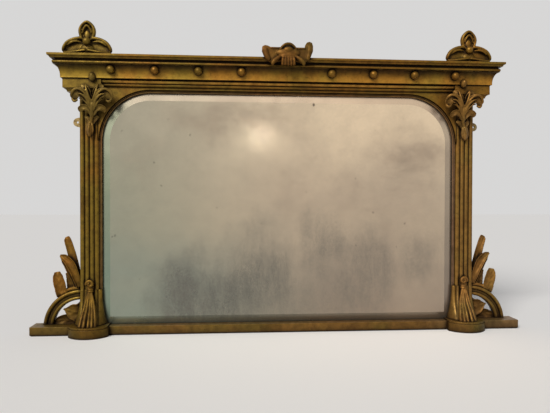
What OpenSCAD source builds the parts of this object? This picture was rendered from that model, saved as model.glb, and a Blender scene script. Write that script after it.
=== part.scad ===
// Overmantel mirror: a gilded frame with reeded pilasters, arched sight, cove frieze and carved ornament.
// X runs to the right, Y into the wall, Z up. The origin is midway along the base shelf, on its underside.
// All sizes are in millimetres.

/* [Base] */
// Length of the base shelf
base_w = 1470; // [1400:10:1600]
// Depth of the base shelf, front to wall
base_d = 58; // [56:1:72]
// Distance of the wall, and of the frame's back, behind the origin
wall_y = 35; // [30:1:40]
// Height of the base shelf
base_h = 27; // [25:1:34]
// Cut-back along the shelf's lower front edge and ends
base_cut = 4; // [2:0.5:8]
// Width of each bowed plinth block
plinth_w = 113; // [104:1:126]
// Distance by which a plinth stands in front of the shelf
plinth_reach = 49; // [42:1:56]
// Radius of the plinth's bowed front
plinth_r = 64; // [60:1:90]
// Thickness of the plinth's lip where it laps over the shelf
plinth_lip = 4; // [3:0.5:8]
// Height of the raised band round the top of the plinth
plinth_band_h = 6; // [4:0.5:12]
// Distance by which that band is set in from the block below it
plinth_band_in = 2; // [1:0.5:4]

/* [Glass and carcass] */
// Width of the sight, the glass that shows
sight_w = 1067; // [900:1:1160]
// Height of the sight
sight_h = 688; // [560:1:800]
// Radius of the sight's two upper corners
sight_r = 143; // [100:1:170]
// Thickness of the mirror plate
glass_t = 6; // [4:0.5:8]
// Distance by which the frame laps over the glass
glass_lap = 6.5; // [5:0.5:9]
// Play round the glass in its rebate
glass_play = 1.5; // [1:0.5:2]
// Width of the ground bevel, measured from the plate's edge
bevel_w = 28; // [20:1:36]
// Thickness left at the bevelled edge
bevel_edge_t = 3; // [2:0.25:3.5]
// Thickness of the stiles and the head rail
carcass_t = 24; // [22:1:30]
// Width of a tenon
tenon_w = 28; // [20:1:34]
// Thickness of a tenon
tenon_t = 8; // [6:0.5:9]
// Length of a tenon
tenon_l = 18; // [12:1:19]
// Clearance round a tenon, a spigot or a dowel in its hole
joint_gap = 0.15; // [0.1:0.05:0.25]

/* [Back] */
// Depth of the rebate that takes the backboards
back_rebate_d = 8; // [7.5:0.5:9]
// Width of that rebate
back_rebate_w = 12; // [10:0.5:14]
// Thickness of a backboard
board_t = 7; // [5:0.5:7]
// Number of backboards
board_n = 5; // [5:1:5]
// Gap between neighbouring backboards
board_gap = 0.6; // [0.3:0.1:1]
// Length of a glazing block
block_l = 60; // [40:1:80]
// Width of a glazing block, measured along the glass
block_w = 14; // [12:0.5:18]
// Diameter of a backboard screw's shank
screw_d = 3.5; // [3:0.25:4]
// Diameter of its head
screw_head_d = 7; // [6:0.5:8]
// Length of a backboard screw
screw_l = 16; // [14:0.5:18]
// Clearance round a screw
screw_gap = 0.15; // [0.1:0.05:0.25]

/* [Pilasters] */
// Width of the reeded face
pilaster_w = 55; // [48:1:60]
// Thickness of the pilaster from the stile to the crown of a reed
pilaster_t = 13; // [12:0.5:16]
// Number of reeds
reed_n = 4; // [3:1:5]
// Width of the sight slip beside the pilaster
slip_w = 8.5; // [8:0.5:13]
// Thickness of the sight slip to the crown of its reeds
slip_t = 6.5; // [5:0.5:9]
// Height of the flared foot
foot_h = 101; // [80:1:120]
// Width by which the foot flares on each side
foot_flare = 15; // [8:1:18]
// Distance by which the foot swells forward of the pilaster
foot_swell = 50; // [36:1:52]
// Depth of the hollows between the foot's reeds
foot_hollow = 3; // [1.5:0.5:4]

/* [Head] */
// Height of the plain fascia block over each pilaster
fascia_h = 28; // [24:1:34]
// Height of the hollow moulding under the fascia block
fascia_hollow = 10; // [8:0.5:12]
// Distance from the stile's edge to the end of the fascia block
fascia_over = 43; // [36:1:48]
// Distance by which the fascia block stands in front of the frieze board
fascia_reach = 17; // [16:0.5:22]
// Distance by which the fascia block reaches past the sight's side, over the spandrel
fascia_in = 3; // [0:1:10]
// Thickness of the frieze board and the spandrels
head_board_t = 14; // [14:0.5:16]
// Height of the upper bead
bead_h = 12; // [10:0.5:13]
// Height of the lower bead
small_bead_h = 8.5; // [7:0.5:9]
// Projection of the upper bead from the frieze board
bead_reach = 14; // [10:0.5:16]
// Projection of the lower bead
small_bead_reach = 8; // [6:0.5:9]
// Height of the cove frieze
cove_h = 37; // [34:1:44]
// Projection of the cove at its foot
cove_foot = 22; // [20:0.5:24]
// Further projection of the cove at its top
cove_reach = 18; // [14:0.5:20]
// Height of the flat strip at the foot of the cove
cove_strip = 4; // [2:0.5:6]
// Height of the bed moulding under the cornice board
bed_h = 15; // [12:0.5:18]
// Height of the groove above its bead
bed_groove_h = 5; // [4:0.5:6]
// Depth of that groove
bed_groove_d = 6; // [4:0.5:8]
// Thickness of the cornice board
cornice_t = 12; // [10:0.5:16]
// Projection of the cornice board past the bed moulding
cornice_reach = 11; // [8:0.5:14]
// Radius of the hollow under the cornice board's edge
cornice_hollow = 6; // [4:0.5:7]

/* [Balls and crest] */
// Diameter of a frieze ball
ball_d = 23.5; // [20:0.5:28]
// Distance from one ball to the next
ball_pitch = 126; // [110:1:130]
// Gap between the two middle balls, which leaves room for the crest
ball_mid_gap = 269; // [240:1:280]
// Balls on each side of the crest
ball_n = 4; // [4:1:4]
// Diameter of a ball's spigot
spigot_d = 8; // [6:0.5:9]
// Length of a ball's spigot
spigot_l = 16; // [12:0.5:18]
// Distance by which the balls and the crest sit right of the middle, as they do on the old frame
head_shift = 12; // [0:1:16]
// Width of the crest
crest_w = 140; // [120:1:160]
// Height of the crest
crest_h = 60; // [52:1:70]
// Thickness of the crest
crest_t = 24; // [20:1:28]

/* [Finials and sprays] */
// Distance of each finial's axis from the middle
finial_x = 566; // [540:1:590]
// Height of a finial
finial_h = 98; // [80:1:110]
// Width of a finial
finial_w = 142; // [110:1:150]
// Thickness of a finial
finial_t = 20; // [16:0.5:24]
// Diameter of the ball on a finial
finial_ball_d = 24; // [20:0.5:28]
// Diameter of a finial's dowel
dowel_d = 10; // [8:0.5:12]
// Length of a finial's dowel
dowel_l = 36; // [30:1:38]
// Distance of each capital spray's axis from the middle
spray_x = 554; // [545:1:562]
// Height of a capital spray, bud to drop
spray_h = 190; // [170:1:200]
// Width of a capital spray
spray_w = 126; // [110:1:136]
// Thickness of a capital spray in front of what carries it
spray_t = 17; // [13:0.5:20]
// Depth below the head rail at which a spray's arms part
spray_v_drop = 37; // [30:1:40]
// Height of the bud at the top of a spray
spray_bud_h = 30; // [24:1:34]
// Width of that bud
spray_bud_w = 20; // [16:0.5:24]
// Height of the drop at the foot of a spray
spray_drop_h = 42; // [36:1:48]
// Width of that drop
spray_drop_w = 21; // [16:0.5:24]
// Height of the ribbed sheaf on each foot
sheaf_h = 139; // [120:1:150]
// Width of the sheaf's spread ribs
sheaf_w = 54; // [48:1:64]
// Number of ribs in the sheaf
sheaf_n = 5; // [5:1:5]

/* [Ears] */
// Outer radius of the ear's moulded arc
ear_r = 111; // [100:1:118]
// Width of the arc's moulding
ear_w = 30; // [26:1:38]
// Thickness of the ear
ear_t = 20; // [16:0.5:22]
// Depth below the shelf's top at which the arc is centred
ear_drop = 8; // [2:0.5:12]
// Distance by which the ear's face lies behind the carcass's front
ear_set = 0.3; // [0.1:0.1:2]
// Height of the ear's leaves above the shelf
ear_h = 258; // [230:1:280]
// Thickness of a leaf at its midrib
leaf_t = 14; // [10:0.5:17]

/* [Wall plates] */
// Height of the wall plates' middle above the underside
plate_z = 629; // [560:1:660]
// Height of a plate
plate_h = 46; // [40:1:56]
// Width of the part of a plate that is screwed to the stile
plate_w = 20; // [18:1:26]
// Thickness of a plate
plate_t = 2; // [1.5:0.25:2.5]
// Distance from the stile's edge to the wall hole
lug_reach = 14; // [12:0.5:18]
// Radius of the lug round the wall hole
lug_r = 13; // [10:0.5:14]
// Diameter of the wall hole
wall_hole_d = 6; // [4:0.5:7]
// Spacing of a plate's two screws
plate_screw_pitch = 30; // [26:1:34]

/* [Hidden] */
// Planes along Y, from the wall forward
shelf_y = wall_y - base_d;
carcass_y = wall_y - carcass_t;
glass_back_y = carcass_y + glass_t;
ledge_y = wall_y - back_rebate_d;
pilaster_y = carcass_y - pilaster_t;
slip_y = carcass_y - slip_t;
board_y = carcass_y - head_board_t;
fascia_y = board_y - fascia_reach;
bed_y = board_y - cove_foot - cove_reach;
cornice_y = bed_y - cornice_reach;
plinth_y = shelf_y - plinth_reach;

// Lines along X, from the middle outward
sight_x = sight_w / 2;
glass_x = sight_x + glass_lap;
opening_x = glass_x + glass_play;
slip_x = sight_x + slip_w;
stile_x = slip_x + pilaster_w;
foot_axis = (sight_x + stile_x) / 2;
fascia_x = stile_x + fascia_over;
head_x = fascia_x - fascia_reach;
bed_x = head_x + cove_foot + cove_reach;
cornice_x = bed_x + cornice_reach;
fascia_in_x = sight_x - fascia_in;

// Heights, from the underside up
plinth_h = base_h + plinth_lip;
glass_z = base_h - glass_lap;
sight_z = base_h + sight_h;
glass_top_z = sight_z + glass_lap;
rail_z = glass_top_z + glass_play;
frieze_z = sight_z + slip_w;
cove_z = rail_z + fascia_h;
bed_z = cove_z + cove_h;
cornice_z = bed_z + bed_h;
top_z = cornice_z + cornice_t;
foot_z = plinth_h + foot_h;

// Smallest useful number: lets one solid cut cleanly through another
eps = 0.01;
// Fine and coarse roundness of carved work
carve_fn = 8;

// Colours of the old frame
gilt = "#8c6f2f";
gilt_lit = "#a9812f";
gilt_dark = "#6b5327";
pine = "#b58a55";
silvered = "#cfc8b4";
brass = "#b08d3c";
steel = "#8d8f92";

// ---------- Shared forms ----------

// A block given by its lowest and highest corners
module block(low, high) translate(low) cube(high - low);

// A run of moulding along X from x0 to x1: the 2D child is its section, drawn as (Y, Z)
module run_x(x0, x1) translate([x0, 0, 0]) rotate([90, 0, 90]) linear_extrude(x1 - x0) children();

// A run along Y from y0 to y1: the 2D child is its section, drawn as (X, Z)
module run_y(y0, y1) translate([0, y1, 0]) rotate([90, 0, 0]) linear_extrude(y1 - y0) children();

// A post along Z from z0 to z1: the 2D child is its plan, drawn as (X, Y)
module run_z(z0, z1) translate([0, 0, z0]) linear_extrude(z1 - z0) children();

// A bore or a pin along Y
module rod_y(d, x, z, y0, y1) translate([x, y1, z]) rotate([90, 0, 0]) cylinder(d = d, h = y1 - y0, $fn = 32);

// The same piece on both sides of the middle
module both_sides() {
    children();
    mirror([1, 0, 0]) children();
}

// A point on the curve that leaves a towards b and ends at c
function curve(a, b, c, t) = (1 - t) * (1 - t) * a + 2 * t * (1 - t) * b + t * t * c;

// The direction of that curve, as a vector of length 1
function heading(a, b, c, t) = let (d = (1 - t) * (b - a) + t * (c - b)) d / norm(d);

// A closed skin over rings that all have the same number of points
module skin(rings) {
    m = len(rings[0]);
    last = len(rings) - 1;
    sides = [for (j = [0 : last - 1], i = [0 : m - 1])
        [j * m + i, j * m + (i + 1) % m, (j + 1) * m + (i + 1) % m, (j + 1) * m + i]];
    tris = [for (f = sides) each [[f[0], f[1], f[2]], [f[0], f[2], f[3]]]];
    polyhedron([for (r = rings) each r],
        concat(tris, [[for (i = [m - 1 : -1 : 0]) i]], [[for (i = [0 : m - 1]) last * m + i]]));
}

// Share of its full width that a leaf has at t, from its root (0) to its tip (1)
function leaf_share(t) = 0.55 + 0.45 * sin(200 * t) - 0.5 * pow(t, 4);

// Signed bend of the curve at t, as 1 over its radius, seen from the front
function bend(a, b, c, t) =
    let (d = (1 - t) * (b - a) + t * (c - b)) cross(d, c - 2 * b + a)[1] / (2 * pow(norm(d), 3));

// The section of a leaf, as [across, out of the face]: raised edges, two hollows and a midrib
leaf_section = [[-1, 0.5], [-0.5, 0.3], [0, 1], [0.5, 0.3], [1, 0.5], [0, -0.6]];

// Half the width of a leaf on one side (-1 or 1), held back on the inside of a tight bend
function leaf_half(w, turn, side) = side * turn > 0 ? min(w / 2, 0.8 / abs(turn)) : w / 2;

// The points of the section at t on a leaf of width w and thickness th
function leaf_ring(a, b, c, w, th, t) =
    let (p = curve(a, b, c, t), d = heading(a, b, c, t), side = cross(d, [0, 1, 0]))
    let (s = side / norm(side), out = cross(s, d), k = max(leaf_share(t), 0.08), turn = bend(a, b, c, t))
    [for (q = leaf_section)
        p + s * q[0] * leaf_half(w * k, turn, sign(q[0])) - out * q[1] * th * (0.35 + 0.65 * k)];

// A carved leaf from its root a, bending towards b, to its tip c
module leaf(a, b, c, w, th, steps = 6) skin([for (i = [0 : steps]) leaf_ring(a, b, c, w, th, i / steps)]);

// A rounded stem or rib whose radius runs from r0 at a to r1 at c
module stem(a, b, c, r0, r1, steps = 4)
    for (i = [0 : steps - 1])
        hull() for (t = [i / steps, (i + 1) / steps])
            translate(curve(a, b, c, t)) sphere(r0 + (r1 - r0) * t, $fn = carve_fn);

// A swelling seed or bud, w wide, h tall and t thick
module seed(w, h, t) hull() {
    scale([w / 2, t / 2, h / 2]) sphere(1, $fn = carve_fn);
    translate([0, 0, -h / 2]) sphere(w / 12, $fn = carve_fn);
}

// ---------- Base ----------

// Section of the shelf, with its lower front edge cut back
module shelf_section()
    polygon([[shelf_y + base_cut, 0], [wall_y, 0], [wall_y, base_h], [shelf_y, base_h],
             [shelf_y, base_cut]]);

module shelf_ends()
    polygon([[-base_w / 2 + base_cut, 0], [base_w / 2 - base_cut, 0], [base_w / 2, base_cut],
             [base_w / 2, base_h], [-base_w / 2, base_h], [-base_w / 2, base_cut]]);

module base_shelf() color(gilt) difference() {
    intersection() {
        run_x(-base_w / 2, base_w / 2) shelf_section();
        run_y(shelf_y, wall_y) shelf_ends();
    }
    // Rebate for the lower edge of the glass, and behind it the one for the backboards
    block([-opening_x, carcass_y, glass_z], [opening_x, wall_y + 1, base_h + 1]);
    block([-opening_x - back_rebate_w, ledge_y, glass_z - back_rebate_w],
          [opening_x + back_rebate_w, wall_y + 1, base_h + 1]);
    both_sides() tenon_hole(base_h - tenon_l - joint_gap, base_h + 1);
    board_screw_holes();
}

// Plan of a plinth: square sides that end in a bowed front
module plinth_plan(inset) intersection() {
    translate([-foot_axis - plinth_w / 2 + inset, plinth_y + inset])
        square([plinth_w - 2 * inset, carcass_y - plinth_y - inset]);
    translate([-foot_axis, plinth_y + plinth_r]) circle(plinth_r - inset, $fn = 96);
}

module left_plinth() color(gilt) difference() {
    union() {
        run_z(0, plinth_h - plinth_band_h) plinth_plan(0);
        run_z(plinth_h - plinth_band_h, plinth_h) plinth_plan(plinth_band_in);
    }
    // Rebate where the block laps over the shelf
    block([-base_w, shelf_y, -1], [0, wall_y, base_h]);
}

module right_plinth() mirror([1, 0, 0]) left_plinth();

// ---------- Carcass ----------

// Tenon of a stile, with its hole larger by the joint's gap on every side
module tenon(z0, z1, grow)
    block([-(opening_x + stile_x + back_rebate_w) / 2 - tenon_w / 2 - grow,
           (carcass_y + ledge_y) / 2 - tenon_t / 2 - grow, z0],
          [-(opening_x + stile_x + back_rebate_w) / 2 + tenon_w / 2 + grow,
           (carcass_y + ledge_y) / 2 + tenon_t / 2 + grow, z1]);

module tenon_hole(z0, z1) tenon(z0, z1, joint_gap);

// Plan of a stile, with the rebate for the backboards
module stile_plan()
    polygon([[-stile_x, carcass_y], [-opening_x, carcass_y], [-opening_x, ledge_y],
             [-opening_x - back_rebate_w, ledge_y], [-opening_x - back_rebate_w, wall_y],
             [-stile_x, wall_y]]);

module left_stile() color(pine) difference() {
    union() {
        run_z(base_h, rail_z) stile_plan();
        tenon(base_h - tenon_l, base_h + eps, 0);
        tenon(rail_z - eps, rail_z + tenon_l, 0);
    }
    wall_plate_recess();
    board_screw_holes();
}

module right_stile() mirror([1, 0, 0]) left_stile();

module head_rail() color(pine) difference() {
    block([-head_x, carcass_y, rail_z], [head_x, wall_y, bed_z]);
    block([-opening_x - back_rebate_w, ledge_y, rail_z - 1],
          [opening_x + back_rebate_w, wall_y + 1, rail_z + back_rebate_w]);
    both_sides() tenon_hole(rail_z - 1, rail_z + tenon_l + joint_gap);
    board_screw_holes();
}

// ---------- Head board and spandrels ----------

module frieze_board() color(gilt) difference() {
    block([-head_x, board_y, frieze_z], [head_x, carcass_y, bed_z]);
    for (x = ball_places) ball_spigot(x, joint_gap);
}

// The corner of board left between the pilaster, the head and the sight slip's arch
module left_spandrel() color(gilt)
    run_y(board_y, carcass_y) difference() {
        translate([-slip_x, sight_z - sight_r]) square([sight_r + slip_w, sight_r + slip_w]);
        translate([-sight_x + sight_r, sight_z - sight_r]) circle(sight_r + slip_w, $fn = 128);
        translate([-sight_x + sight_r - eps, 0]) square([2 * eps, sight_z + slip_w]);
    }

module right_spandrel() mirror([1, 0, 0]) left_spandrel();

// ---------- Sight slip: two small reeds round the glass ----------

slip_reed = slip_w / 2;

// Section of the slip, drawn as (distance from the glass's side of the slip, height above its back)
module slip_section() {
    square([slip_w, slip_t - slip_reed / 2]);
    intersection() {
        for (i = [0, 1]) translate([(i + 0.5) * slip_reed, slip_t - slip_reed * 0.55])
            circle(slip_reed * 0.55, $fn = 32);
        square([slip_w, slip_t]);
    }
}

module left_slip() color(gilt_dark)
    translate([-sight_x, carcass_y, 0]) mirror([1, 0, 0]) mirror([0, 1, 0])
        run_z(foot_z, sight_z - sight_r) slip_section();

module right_slip() mirror([1, 0, 0]) left_slip();

// One upper corner of the slip, turned about the centre of the sight's corner
module slip_corner() translate([-sight_x + sight_r, carcass_y, sight_z - sight_r])
    rotate([90, 0, 0]) rotate([0, 0, 90]) rotate_extrude(angle = 90, $fn = 128)
        translate([sight_r, 0]) slip_section();

module head_slip() color(gilt_dark) {
    both_sides() slip_corner();
    translate([0, carcass_y, sight_z]) rotate([90, 0, 90])
        translate([0, 0, -sight_x + sight_r]) linear_extrude(2 * (sight_x - sight_r))
            rotate(90) mirror([0, 0]) slip_section();
}

// ---------- Pilasters ----------

reed_w = pilaster_w / reed_n;

// Plan of the reeded face, from its inner edge outward
module reed_plan() {
    square([pilaster_w, pilaster_t - reed_w / 2]);
    intersection() {
        for (i = [0 : reed_n - 1]) translate([(i + 0.5) * reed_w, pilaster_t - reed_w * 0.54])
            circle(reed_w * 0.54, $fn = 48);
        square([pilaster_w, pilaster_t]);
    }
}

module left_pilaster() color(gilt)
    translate([-slip_x, carcass_y, 0]) mirror([1, 0, 0]) mirror([0, 1, 0])
        run_z(foot_z, rail_z - fascia_hollow) reed_plan();

module right_pilaster() mirror([1, 0, 0]) left_pilaster();

// ---------- Flared foot ----------

foot_reeds = reed_n + 1;
foot_steps = 7;
foot_points = foot_reeds * 6;

// Flare of the foot at t, from its top (0) to its bottom (1)
function flare(t) = pow(t, 2.2);

// Depth of the foot's face at u across it (0 to 1) and t down it
function foot_depth(u, t) =
    pilaster_t + foot_swell * flare(t) * pow(sin(180 * u), 0.7)
    - foot_hollow * (1 - abs(sin(180 * foot_reeds * u)));

function foot_ring(t) =
    let (w = stile_x - sight_x + 2 * foot_flare * flare(t), x0 = -foot_axis - w / 2, z = foot_z - foot_h * t)
    concat([[x0 + w, carcass_y, z], [x0, carcass_y, z]],
           [for (i = [0 : foot_points]) let (u = i / foot_points)
               [x0 + w * u, carcass_y - foot_depth(u, t), z]]);

module left_foot() color(gilt_lit) skin([for (j = [0 : foot_steps]) foot_ring(j / foot_steps)]);

module right_foot() mirror([1, 0, 0]) left_foot();

// ---------- Sheaf on the foot ----------

sheaf_knot_z = plinth_h + sheaf_h * 0.7;
sheaf_y = carcass_y - pilaster_t;
curl_r = 11;
// Height of the curl's middle above the knot
curl_up = 18;
// Distance by which the outer ribs lie behind the middle one, where the foot rounds away
sheaf_side = 9;

// Depth of the foot's face behind a rib, at height z
function sheaf_face(z) = sheaf_y - foot_swell * flare(max(0, (foot_z - z) / foot_h));

module left_sheaf() color(gilt_lit) difference() {
    translate([-foot_axis, 0, 0]) {
        for (i = [0 : sheaf_n - 1]) let (u = i / (sheaf_n - 1) * 2 - 1)
            stem([u * 5, sheaf_y - 6, sheaf_knot_z],
                 [u * sheaf_w * 0.34, sheaf_y - 7, sheaf_knot_z - sheaf_h * 0.36],
                 [u * (sheaf_w / 2 - 7), sheaf_face(plinth_h) - 4 + sheaf_side * u * u, plinth_h + 5],
                 4, 7.5, 4);
        // Knot, and the curl above it
        stem([-7, sheaf_y - 5, sheaf_knot_z + 2], [0, sheaf_y - 12, sheaf_knot_z - 1],
             [7, sheaf_y - 5, sheaf_knot_z + 2], 5, 5, 2);
        for (a = [0 : 45 : 225]) hull() for (s = [a, a + 45])
            translate([curl_r * cos(170 - s), sheaf_y - 4, sheaf_knot_z + curl_up + curl_r * sin(170 - s)])
                sphere(5.5 - s / 120, $fn = 8);
        translate([-2, sheaf_y - 2, sheaf_knot_z + curl_up - 4]) sphere(8, $fn = carve_fn);
    }
    block([-stile_x, sheaf_y, foot_z - eps], [-sight_x, wall_y, top_z]);
    block([-stile_x - pilaster_w, plinth_y, -1], [0, wall_y, plinth_h]);
    left_foot();
}

module right_sheaf() mirror([1, 0, 0]) left_sheaf();

// ---------- Beads and fascia blocks ----------

// Section of a bead on the face of the frieze board: half-round nose on a short fillet
module bead_section(h, reach) translate([board_y, 0]) {
    translate([-(reach - h / 2), 0]) square([reach - h / 2, h]);
    intersection() {
        translate([-(reach - h / 2), h / 2]) circle(h / 2, $fn = 48);
        translate([-reach, 0]) square([reach, h]);
    }
}

module upper_bead() color(gilt_lit)
    run_x(-fascia_in_x, fascia_in_x) translate([0, cove_z - bead_h]) bead_section(bead_h, bead_reach);

module lower_bead() color(gilt)
    run_x(-fascia_in_x, fascia_in_x) translate([0, cove_z - bead_h - small_bead_h])
        bead_section(small_bead_h, small_bead_reach);

// Section of a fascia block, with the outer face at 0 and the carcass on the positive side
module fascia_section(depth) difference() {
    translate([0, rail_z - fascia_hollow]) square([depth, fascia_h + fascia_hollow]);
    translate([0, rail_z - fascia_hollow]) circle(fascia_hollow, $fn = 64);
    translate([-1, rail_z - fascia_hollow - 1]) square([1 + fascia_hollow / 2, fascia_hollow / 2 + 1]);
}

module left_fascia_block() color(gilt_lit) difference() {
    intersection() {
        run_x(-fascia_x, -fascia_in_x) translate([fascia_y, 0]) fascia_section(wall_y - fascia_y);
        run_y(fascia_y, wall_y) translate([-fascia_x, 0]) fascia_section(fascia_x - fascia_in_x);
    }
    // Room for the frieze board, the head rail and, below them, the stile and the pilaster
    block([-head_x, board_y, frieze_z], [0, carcass_y + eps, cove_z + 1]);
    block([-head_x, carcass_y, rail_z], [0, wall_y + 1, cove_z + 1]);
    block([-stile_x, board_y - eps, 0], [0, wall_y + 1, frieze_z + eps]);
}

module right_fascia_block() mirror([1, 0, 0]) left_fascia_block();

// ---------- Cove frieze ----------

// Radius of the cove, whose arc rises from the strip to the bed moulding
cove_arc_r = cove_h - cove_strip;

// Section of the cove, as [projection from the carcass, height above its foot]
module cove_section() difference() {
    square([cove_foot + cove_reach, cove_h]);
    translate([cove_foot, -1]) square([cove_reach + 1, cove_strip + 1]);
    translate([cove_foot + cove_reach, cove_strip]) scale([cove_reach / cove_arc_r, 1])
        circle(cove_arc_r, $fn = 96);
}

// Length of the mitre's cutting block, longer than the return
mitre_l = 3 * (wall_y - bed_y);

// The wedge of space on the outer side of the mitre at the left corner
module mitre_side() translate([-head_x, board_y, cove_z - 1]) rotate(135)
    block([0, 0, 0], [mitre_l, mitre_l, cove_h + 2]);

module frieze_cove() color(gilt_lit) difference() {
    run_x(-bed_x, bed_x) translate([board_y, cove_z]) mirror([1, 0]) cove_section();
    both_sides() mitre_side();
    for (x = ball_places) ball_spigot(x, joint_gap);
}

module left_cove_return() color(gilt_lit) intersection() {
    run_y(bed_y, wall_y) translate([-head_x, cove_z]) mirror([1, 0]) cove_section();
    mitre_side();
}

module right_cove_return() mirror([1, 0, 0]) left_cove_return();

// ---------- Cornice ----------

// Section of the bed moulding's edge at distance d from the middle: a bead below a groove
module bed_edge(d) {
    square([d - bed_groove_d, bed_h]);
    square([d - bed_groove_d / 2, bed_h - bed_groove_h]);
    translate([d - (bed_h - bed_groove_h) / 2, (bed_h - bed_groove_h) / 2])
        circle((bed_h - bed_groove_h) / 2, $fn = 48);
}

module cornice_bed() color(gilt) translate([0, 0, bed_z]) intersection() {
    run_x(-bed_x, bed_x) translate([wall_y, 0]) mirror([1, 0]) bed_edge(wall_y - bed_y);
    run_y(bed_y, wall_y) both_edges() bed_edge(bed_x);
}

// The same edge on the left and the right of a 2D section
module both_edges() {
    children();
    mirror([1, 0]) children();
}

// Section of the cornice board's edge at distance d from the middle, hollowed underneath
module cornice_edge(d) difference() {
    square([d, cornice_t]);
    translate([d, 0]) circle(cornice_hollow, $fn = 48);
}

module cornice_board() color(gilt) difference() {
    translate([0, 0, cornice_z]) intersection() {
        run_x(-cornice_x, cornice_x) translate([wall_y, 0]) mirror([1, 0]) cornice_edge(wall_y - cornice_y);
        run_y(cornice_y, wall_y) both_edges() cornice_edge(cornice_x);
    }
    both_sides() finial_dowel(joint_gap);
}

// ---------- Frieze balls ----------

ball_z = cove_z + cove_h * 0.62;
ball_y = board_y - cove_foot - ball_d * 0.42;
ball_places = [for (s = [-1, 1], i = [0 : ball_n - 1])
    let (k = s < 0 ? ball_n - 1 - i : i) head_shift + s * (ball_mid_gap / 2 + k * ball_pitch)];

module ball_spigot(x, grow)
    rod_y(spigot_d + 2 * grow, x, ball_z, ball_y, ball_y + ball_d / 2 + spigot_l + grow);

module frieze_ball(i) color(gilt_lit) {
    x = ball_places[i - 1];
    difference() {
        translate([x, ball_y, ball_z]) sphere(d = ball_d, $fn = 48);
        run_x(x - ball_d, x + ball_d) translate([board_y, cove_z]) mirror([1, 0]) cove_section();
    }
    ball_spigot(x, 0);
}

// ---------- Capital spray ----------

// The V where the arms part, and the spray's reach above and below it
spray_v_z = rail_z - spray_v_drop;
spray_up = spray_h * 0.46;
spray_down = spray_h - spray_up;
// Depth of the stem's middle behind the fascia block's face, where it lies on the pilaster
stem_y = pilaster_y - fascia_y - 5;

// A place on side s of the spray, in shares of its half width, its reach up or down and its thickness
function on_spray(s, out, up, fwd, back = 0) =
    [s * out * spray_w / 2, back - fwd * spray_t, up * (up > 0 ? spray_up : spray_down)];

module left_spray() color(gilt_lit) difference() {
    translate([-spray_x, fascia_y, spray_v_z]) {
        for (s = [-1, 1]) spray_side(s);
        // Bud over the V, the stem below it and the drop at its end
        translate([0, -spray_t * 0.55, spray_up - spray_bud_h / 2]) seed(spray_bud_w, spray_bud_h, spray_t);
        stem([0, -spray_t * 0.4, spray_up - spray_bud_h * 0.75], [0, -2, 0], on_spray(0, 0, -0.15, 0),
             5, 9, 3);
        stem([0, -1, -spray_down * 0.08], on_spray(0, 0, -0.35, 0, stem_y - 2),
             [0, stem_y, spray_drop_h * 0.6 - spray_down], 9, 6, 4);
        translate([0, stem_y - 1, spray_drop_h / 2 - spray_down]) mirror([0, 0, 1])
            seed(spray_drop_w, spray_drop_h, spray_t);
    }
    // Seats against the fascia block, the pilaster, the beads and the cove
    block([-stile_x - spray_w, fascia_y, rail_z - fascia_hollow - 1], [0, wall_y, top_z]);
    block([-stile_x - spray_w, pilaster_y, 0], [0, wall_y, rail_z]);
    run_x(-stile_x, 0) translate([board_y, cove_z]) mirror([1, 0]) cove_section();
}

// One side of the spray: an inner leaf beside the bud, a long one that arches over and droops,
// a shorter one under it, a small one on the stem and a husk on the drop
module spray_side(s) {
    leaf(on_spray(s, 0.03, 0, 0.05), on_spray(s, 0.08, 0.38, 0.5), on_spray(s, 0.42, 0.8, 0.5),
         spray_w * 0.2, spray_t * 0.5, 5);
    leaf(on_spray(s, 0.05, -0.04, 0), on_spray(s, 0.6, 0.66, 0.9), on_spray(s, 0.96, -0.04, 0.3),
         spray_w * 0.34, spray_t * 0.6, 8);
    leaf(on_spray(s, 0.05, -0.11, 0), on_spray(s, 0.5, 0.28, 0.6), on_spray(s, 0.76, -0.1, 0.1),
         spray_w * 0.21, spray_t * 0.6, 6);
    leaf(on_spray(s, 0.03, -0.45, 0, stem_y), on_spray(s, 0.3, -0.2, 0.4, stem_y),
         on_spray(s, 0.54, -0.3, 0.2, stem_y), spray_w * 0.16, spray_t * 0.5, 5);
    leaf(on_spray(s, 0.03, -0.66, 0, stem_y), on_spray(s, 0.2, -0.72, 0.3, stem_y),
         on_spray(s, 0.24, -0.9, 0.2, stem_y), spray_w * 0.12, spray_t * 0.45, 4);
}

module right_spray() mirror([1, 0, 0]) left_spray();

// ---------- Finials ----------

finial_y = cornice_y + 14 + finial_t / 2;

// A carved lobe in the plane of the finial, as [across, up]: two raised rims that leave the roots
// a1 and a2, bend by b1 and b2 and meet at the tip c, with a hollowed web between them
module rimmed_lobe(a1, b1, a2, b2, c, rim) {
    for (side = [[a1, b1], [a2, b2]]) scale([1, finial_t / 2 / rim, 1])
        stem(flat(side[0]), flat(side[1]), flat(c), rim, rim * 0.8, 5);
    steps = [0 : 0.2 : 1];
    outline = concat([for (t = steps) curve(a1, b1, c, t)], [for (t = steps) curve(a2, b2, c, 1 - t)]);
    translate([0, finial_t * 0.25, 0]) rotate([90, 0, 0]) linear_extrude(finial_t * 0.4) polygon(outline);
}

// A point of the finial's plane, in space
function flat(p) = [p[0], 0, p[1]];

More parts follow.
